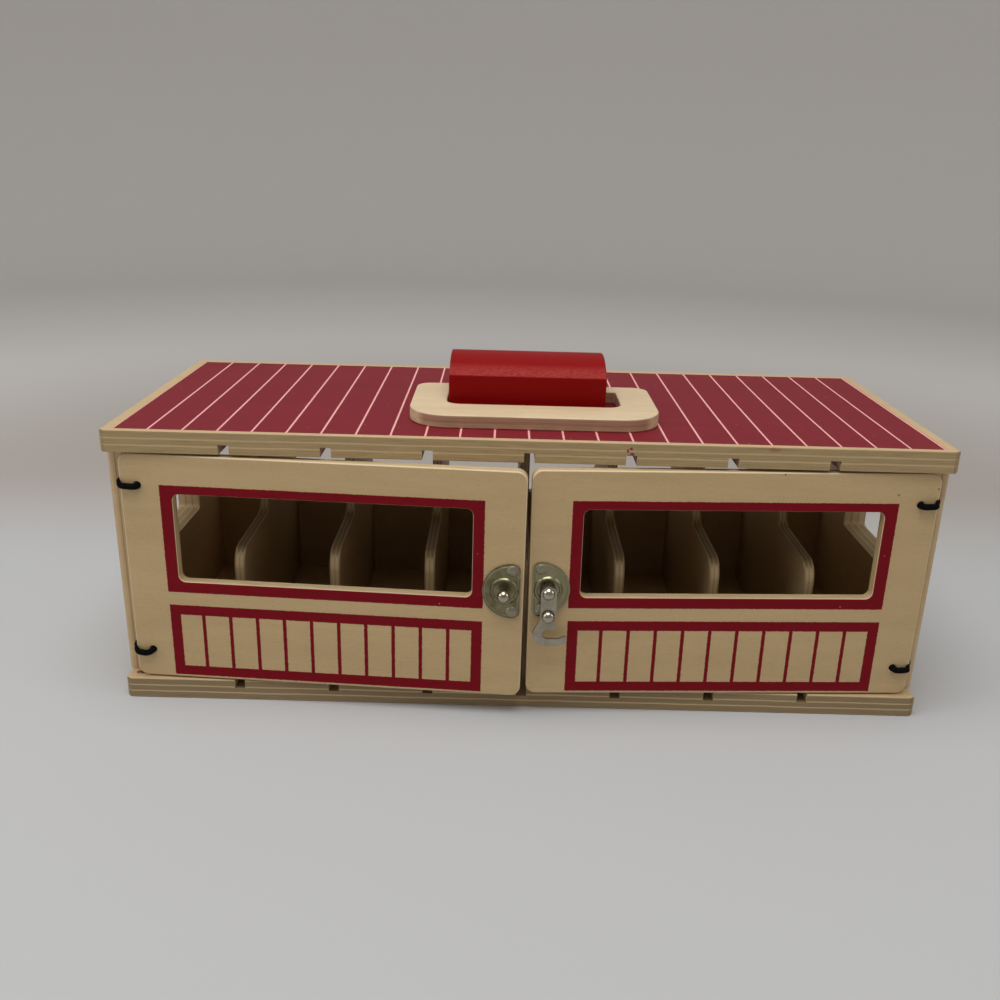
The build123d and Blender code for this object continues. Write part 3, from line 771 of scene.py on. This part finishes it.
def rim_loop(side):
    """The line along a D-shaped plate's rim: an arc about its middle and two small arcs by its flat side."""
    place, loop = door_place(side), []
    reach, corner = PLATE_RADIUS - PLATE_LINE_IN, PLATE_CORNER - PLATE_LINE_IN
    small_u = PLATE_FLAT_NEAR - PLATE_LINE_IN - corner
    spread = math.sqrt((reach - corner) ** 2 - (small_u - PLATE_MIDDLE_NEAR) ** 2)
    join = math.atan2(spread, small_u - PLATE_MIDDLE_NEAR)
    arcs = (
        (PLATE_MIDDLE_NEAR, 0.0, reach, join, 2 * math.pi - join, 64),
        (small_u, -spread, corner, -join, 0.0, 10),
        (small_u, spread, corner, 0.0, join, 10),
    )
    for mid_u, mid_v, radius, start, end, count in arcs:
        for step in range(count + 1):
            angle = start + (end - start) * step / count
            u, v = mid_u + radius * math.cos(angle), mid_v + radius * math.sin(angle)
            loop.append(place @ Vector((-side * u, PLATE_HEIGHT + v, PLATE_THICK)))
    return loop


class TOYSTABLE_OT_latch(bpy.types.Operator):
    """Plates the latch with nickel and presses a raised line along each plate's rim"""

    bl_idname = "toy_stable.latch"
    bl_label = "Hook Latch"

    def execute(self, context):
        colours = context.scene.toy_stable_colours
        bright, satin = tuple(colours.nickel), tuple(colours.satin)
        plate, film = tuple(colours.plate), tuple(colours.tarnish)
        filmed = nickel_plate("Nickel plated steel, pressed and filmed over", plate, film, 0.95, 0.3)
        greyed = nickel_plate("Nickel plated steel, pressed and greyed", plate, film, 0.3, 0.26)
        stamped = nickel_plate("Nickel plated steel, stamped and satin", satin, plate, 0.4, 0.4)
        hooked = nickel_plate("Nickel plated steel, stamped hook", bright, satin, 0.8, 0.42)
        turned = nickel_plate("Nickel plated steel, turned and tumbled", bright, plate, 0.2, 0.12)
        finishes = {
            "left_latch_plate": filmed, "right_latch_plate": greyed,
            "left_plate_nails": stamped, "right_plate_nails": stamped,
            "latch_hook": hooked, "catch_stud": turned, "hook_pivot": turned, "hook_knob": turned,
        }
        for node, finish in finishes.items():
            wear(node, finish)
        for side, name in SIDES:
            line = curve_of("rim", [rim_loop(side)], "POLY", PLATE_LINE * MM, closed=True)
            rim = to_mesh([line], f"{name}_plate_rim", stamped)
            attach(rim, f"{name}_door")
        return {"FINISHED"}


class TOYSTABLE_OT_shadow_dab(bpy.types.Operator):
    """Puts a small dark lump on the base board in front of the left panel, as painted shadow in the gap
    between the base and the panel's corner
    """

    bl_idname = "toy_stable.glue"
    bl_label = "Painted Shadow Dab"

    def execute(self, context):
        radius, flattened, lumps = 1.6 * MM, (1.3, 0.9, 0.38), 0.16 * MM
        middle = Vector(SHADOW_DAB_PLACE) * MM
        bpy.ops.object.select_all(action="DESELECT")
        bpy.ops.mesh.primitive_uv_sphere_add(segments=28, ring_count=14, radius=radius, location=middle)
        dab = context.object
        dab.name = "painted_shadow_dab"
        bpy.ops.object.mode_set(mode="EDIT")
        bpy.ops.mesh.select_all(action="SELECT")
        bpy.ops.transform.resize(value=flattened)
        bpy.ops.transform.vertex_random(offset=lumps, seed=4)
        bpy.ops.mesh.vertices_smooth(factor=0.5, repeat=2)
        bpy.ops.object.mode_set(mode="OBJECT")
        bpy.ops.object.transform_apply(location=True, rotation=True, scale=True)
        bpy.ops.object.shade_smooth()
        dab.data.materials.append(shadow_lump_material(tuple(context.scene.toy_stable_colours.glue)))
        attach(dab, "stable")
        return {"FINISHED"}


# Carry ring and block

class TOYSTABLE_OT_handle(bpy.types.Operator):
    """Finishes the carry ring in pale plywood and paints the block red"""

    bl_idname = "toy_stable.handle"
    bl_label = "Carry Ring and Block"

    def execute(self, context):
        colours = context.scene.toy_stable_colours
        ring = plywood(
            "Birch plywood, carry ring", (0, 0, ROOF_TOP), RING_THICK, RING_PLIES,
            tuple(colours.ring_face), tuple(colours.ring_edge), **FLAT,
        )
        wear("handle_ring", ring["material"])
        wear("handle_block", red_paint(tuple(colours.block_paint)))
        return {"FINISHED"}


# Stage: floor and backdrop in one sweep, soft lamps and the camera

class TOYSTABLE_OT_stage(bpy.types.Operator):
    """Sets the pale floor, the backdrop, the soft lamps and the camera"""

    bl_idname = "toy_stable.stage"
    bl_label = "Stage"

    def execute(self, context):
        self.lay_floor(context)
        self.hang_lamps(context)
        self.hold_camera(context)
        return {"FINISHED"}

    def lay_floor(self, context):
        """A round floor whose rim sweeps up into a wall."""
        floor_radius, sweep, wall = 1.6, 0.5, 1.4
        bpy.ops.object.select_all(action="DESELECT")
        bpy.ops.mesh.primitive_circle_add(
            vertices=96, radius=floor_radius, fill_type="NGON", location=(0, 0, 0),
        )
        floor = context.object
        floor.name = "stage_floor"
        bpy.ops.object.mode_set(mode="EDIT")
        bpy.ops.mesh.select_all(action="SELECT")
        bpy.ops.mesh.select_mode(type="EDGE")
        bpy.ops.mesh.region_to_loop()
        rings = []
        for degrees in range(10, 91, 10):
            angle = math.radians(degrees)
            rings.append((floor_radius + sweep * math.sin(angle), sweep * (1 - math.cos(angle))))
        rings.append((floor_radius + sweep, wall))
        reach, level = floor_radius, 0.0
        for next_reach, next_level in rings:
            bpy.ops.mesh.extrude_edges_move(TRANSFORM_OT_translate={"value": (0, 0, next_level - level)})
            bpy.ops.transform.resize(value=(next_reach / reach, next_reach / reach, 1))
            reach, level = next_reach, next_level
        bpy.ops.object.mode_set(mode="OBJECT")
        bpy.ops.object.shade_smooth()
        colours = context.scene.toy_stable_colours
        paper = seamless_paper(tuple(colours.floor), tuple(colours.floor_painted_shadow), tuple(colours.backdrop))
        floor.data.materials.append(paper)

    def hang_lamps(self, context):
        """Three soft lamps that face the stable, by place, width and watts, and a weak pale sky."""
        lamps = (
            ("Overhead softbox", (-0.1, -0.3, 1.35), 1.1, 12.1),
            ("Left window", (-1.2, -0.35, 0.75), 0.9, 4.3),
            ("Right window", (1.3, -0.2, 0.7), 0.8, 2.5),
        )
        aim = Vector((0, 0, 0.07))
        for name, place, size, power in lamps:
            bpy.ops.object.light_add(type="AREA", location=place)
            lamp = context.object
            lamp.name = name
            lamp.data.shape = "DISK"
            lamp.data.size = size
            lamp.data.energy = power
            lamp.rotation_euler = (aim - Vector(place)).to_track_quat("-Z", "Y").to_euler()
        world = bpy.data.worlds.new("Studio air")
        context.scene.world = world
        world.use_nodes = True
        world.node_tree.nodes.clear()
        air = put(world.node_tree, "Background", {"Color": linear("#F4F5F6"), "Strength": 0.4})
        put(world.node_tree, "OutputWorld", {"Surface": air})

    def hold_camera(self, context):
        """The camera stood half a metre away and a quarter above the table, tilted down by 19.6 degrees."""
        stood, pan, tilt, roll = Vector((-13.78, -517.48, 267.03)), -0.0013, 0.3417, 0.0264
        bpy.ops.object.camera_add()
        camera = context.object
        camera.data.lens = 35.409
        camera.data.sensor_width = 36.0
        camera.data.clip_start = 0.01
        camera.matrix_world = (
            Matrix.Translation(stood * MM)
            @ Matrix.Rotation(pan, 4, "Z")
            @ Matrix.Rotation(math.radians(90) - tilt, 4, "X")
            @ Matrix.Rotation(roll, 4, "Z")
        )
        context.scene.camera = camera
        context.scene.view_settings.view_transform = "Standard"


class TOYSTABLE_PT_sidebar(bpy.types.Panel):
    """Lists the pieces of the toy stable with their sizes and colours"""

    bl_idname = "TOYSTABLE_PT_sidebar"
    bl_label = "Toy Stable"
    bl_space_type = "VIEW_3D"
    bl_region_type = "UI"
    bl_category = "Toy Stable"

    def draw(self, context):
        for piece in PIECES:
            self.layout.operator(piece.bl_idname)
        for group in (context.scene.toy_stable_sizes, context.scene.toy_stable_colours):
            box = self.layout.box()
            for name in group.__annotations__:
                box.prop(group, name)


PIECES = (
    TOYSTABLE_OT_stage, TOYSTABLE_OT_carcass, TOYSTABLE_OT_roof, TOYSTABLE_OT_doors,
    TOYSTABLE_OT_cords, TOYSTABLE_OT_latch, TOYSTABLE_OT_handle, TOYSTABLE_OT_shadow_dab,
)
CLASSES = (ToyStableSizes, ToyStableColours, *PIECES, TOYSTABLE_PT_sidebar)


def register():
    for cls in CLASSES:
        bpy.utils.register_class(cls)
    bpy.types.Scene.toy_stable_sizes = bpy.props.PointerProperty(type=ToyStableSizes)
    bpy.types.Scene.toy_stable_colours = bpy.props.PointerProperty(type=ToyStableColours)


def unregister():
    del bpy.types.Scene.toy_stable_colours
    del bpy.types.Scene.toy_stable_sizes
    for cls in reversed(CLASSES):
        bpy.utils.unregister_class(cls)


def main():
    """Builds the stable on its frame."""
    register()
    bpy.ops.toy_stable.stage()
    bpy.ops.toy_stable.carcass()
    bpy.ops.toy_stable.roof()
    bpy.ops.toy_stable.doors()
    bpy.ops.toy_stable.cords()
    bpy.ops.toy_stable.latch()
    bpy.ops.toy_stable.handle()
    bpy.ops.toy_stable.glue()


if __name__ == "__main__":
    main()
